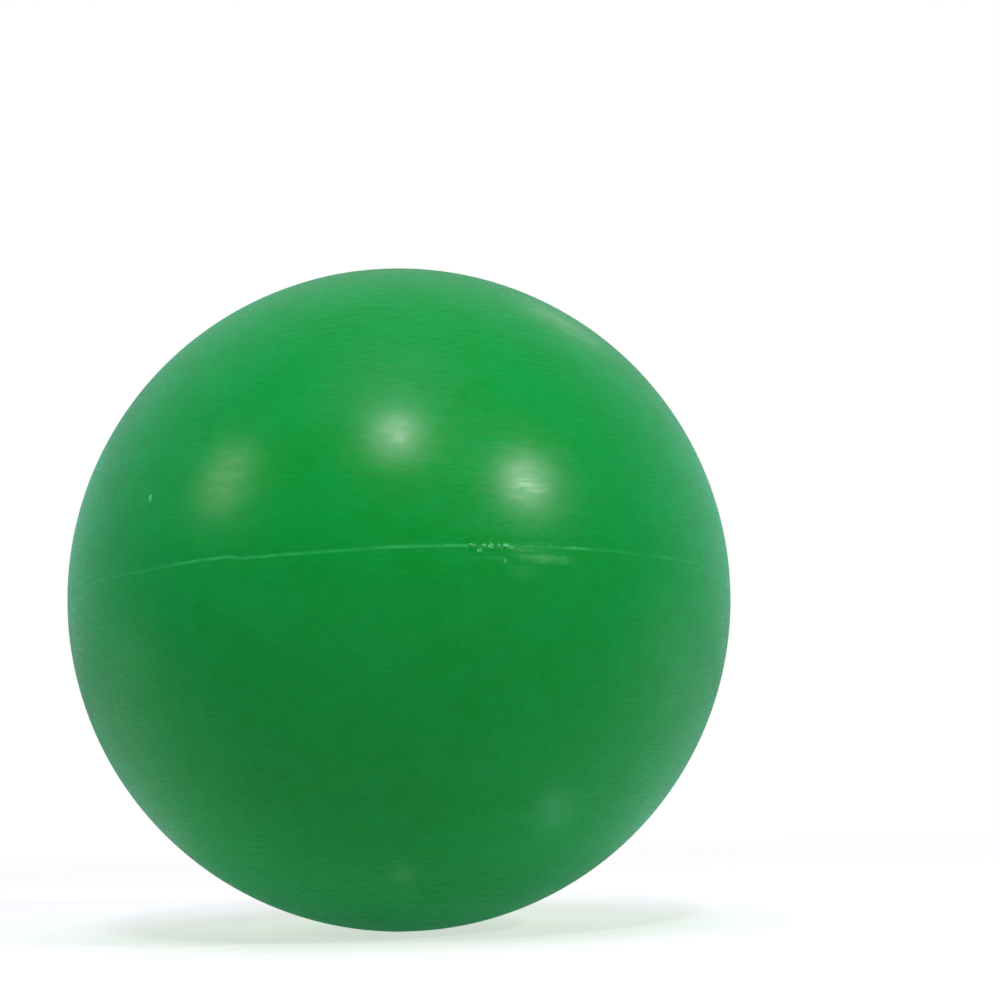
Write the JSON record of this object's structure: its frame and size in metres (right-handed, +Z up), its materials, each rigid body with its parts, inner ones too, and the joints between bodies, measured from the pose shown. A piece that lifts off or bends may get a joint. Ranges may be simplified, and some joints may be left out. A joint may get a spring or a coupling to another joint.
{
  "type": "juggling ball",
  "caption": "Round satin green juggling ball with a fine bonded seam round its middle, a flush push-in filling plug and loose grain inside.",
  "frame": {"origin": "centre of the ball, in the plane of the seam", "axes": "+Z up, out through the centre of the filling plug; the seam lies in the XY plane; the grain lies level on the -Z side; -Y is the front"},
  "size_m": [0.07, 0.07, 0.07],
  "materials": {
    "shell_green": "satin",
    "seam_pale_green": "satin",
    "plug_green": "satin",
    "grain": "matte"
  },
  "bodies": {
    "shell": {"upper_half_shell": "shell_green", "lower_half_shell": "shell_green", "seam_adhesive": "seam_pale_green"},
    "plug": {"filling_plug": "plug_green"},
    "fill": {"millet_fill": "grain"}
  },
  "joints": [
    {"name": "plug_pull", "type": "slide", "parent": "shell", "child": "plug", "axis": [0, 0, 1], "range_m": [0, 0.02]},
    {"name": "grain_roll", "type": "hinge", "parent": "shell", "child": "fill", "pos_m": [0, 0, 0], "axis": [1, 0, 0], "continuous": true}
  ]
}
